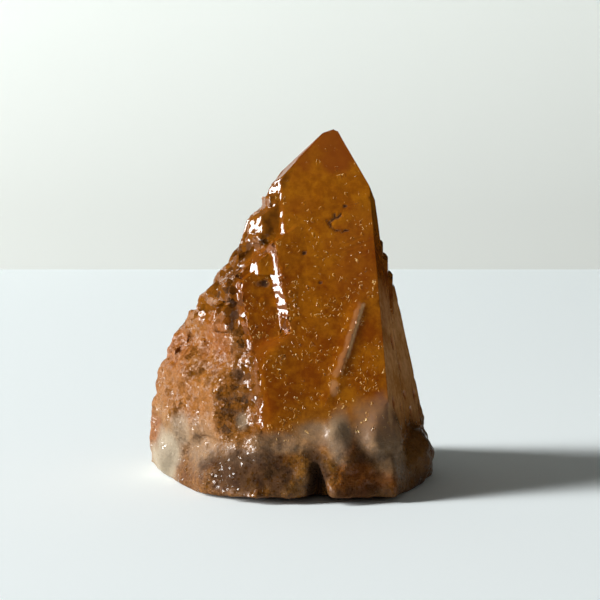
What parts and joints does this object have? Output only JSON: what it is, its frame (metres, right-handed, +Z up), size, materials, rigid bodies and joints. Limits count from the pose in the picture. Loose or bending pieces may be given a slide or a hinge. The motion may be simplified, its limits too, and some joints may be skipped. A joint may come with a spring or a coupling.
{
  "type": "dogtooth calcite crystal",
  "caption": "Single honey calcite point with a sharp tip, a stepped crystal flank and a broken foot, cut flat so that it stands upright.",
  "frame": {"origin": "on the flat break that it stands on, under the middle of the crystal", "axes": "+Z up from the ground to the point, -Y out of the large smooth front face, +X to the steep right edge"},
  "size_m": [0.0583, 0.0513, 0.0696],
  "materials": {
    "calcite": "glossy translucent honey-coloured crystal, milky and rough at the foot"
  },
  "bodies": {
    "root": {"calcite_crystal": "calcite"}
  },
  "joints": []
}
